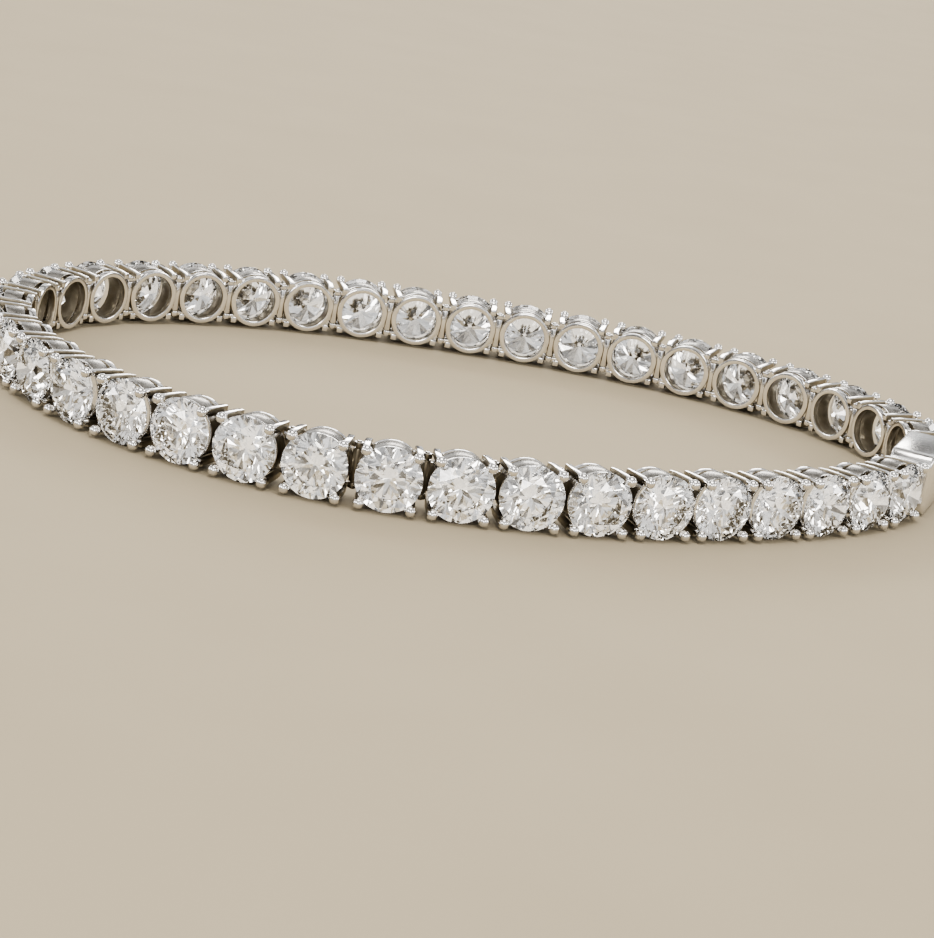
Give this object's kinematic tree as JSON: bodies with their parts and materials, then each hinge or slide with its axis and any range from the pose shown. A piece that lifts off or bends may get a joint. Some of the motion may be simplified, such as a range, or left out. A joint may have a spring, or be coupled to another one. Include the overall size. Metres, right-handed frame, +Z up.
{
  "type": "tennis bracelet",
  "caption": "Closed line bracelet of round brilliant stones in pronged white metal links, lying on its edge, with a plain clasp.",
  "frame": {"origin": "on the ground under the middle of the bracelet's box", "axes": "+Z up across the band's width, +X along the loop's long way, with the line's front stretch towards -Y"},
  "size_m": [0.0702, 0.0524, 0.0044],
  "materials": {
    "diamond": "clear, colourless, cut with flat polished facets",
    "white_gold": "rhodium-plated white gold, polished",
    "clasp_gold": "rhodium-plated white gold, polished, with fine rub marks"
  },
  "bodies": {
    "root": {"stone_01": "diamond", "stone_02": "diamond", "stone_03": "diamond", "stone_04": "diamond", "stone_05": "diamond", "stone_06": "diamond", "stone_07": "diamond", "stone_08": "diamond", "stone_09": "diamond", "stone_10": "diamond", "stone_11": "diamond", "stone_12": "diamond", "stone_13": "diamond", "stone_14": "diamond", "stone_15": "diamond", "stone_16": "diamond", "stone_17": "diamond", "stone_18": "diamond", "stone_19": "diamond", "stone_20": "diamond", "stone_21": "diamond", "stone_22": "diamond", "stone_23": "diamond", "stone_24": "diamond", "stone_25": "diamond", "stone_26": "diamond", "stone_27": "diamond", "stone_28": "diamond", "stone_29": "diamond", "stone_30": "diamond", "stone_31": "diamond", "stone_32": "diamond", "stone_33": "diamond", "stone_34": "diamond", "stone_35": "diamond", "stone_36": "diamond", "stone_37": "diamond", "stone_38": "diamond", "setting_row_01": "white_gold", "setting_row_02": "white_gold", "setting_row_03": "white_gold", "setting_row_04": "white_gold", "setting_row_05": "white_gold", "setting_row_06": "white_gold", "setting_row_07": "white_gold", "setting_row_08": "white_gold", "setting_row_09": "white_gold", "setting_row_10": "white_gold", "setting_row_11": "white_gold", "setting_row_12": "white_gold", "setting_row_13": "white_gold", "setting_row_14": "white_gold", "setting_row_15": "white_gold", "setting_row_16": "white_gold", "setting_row_17": "white_gold", "setting_row_18": "white_gold", "setting_row_19": "white_gold", "clasp": "clasp_gold"}
  },
  "joints": []
}
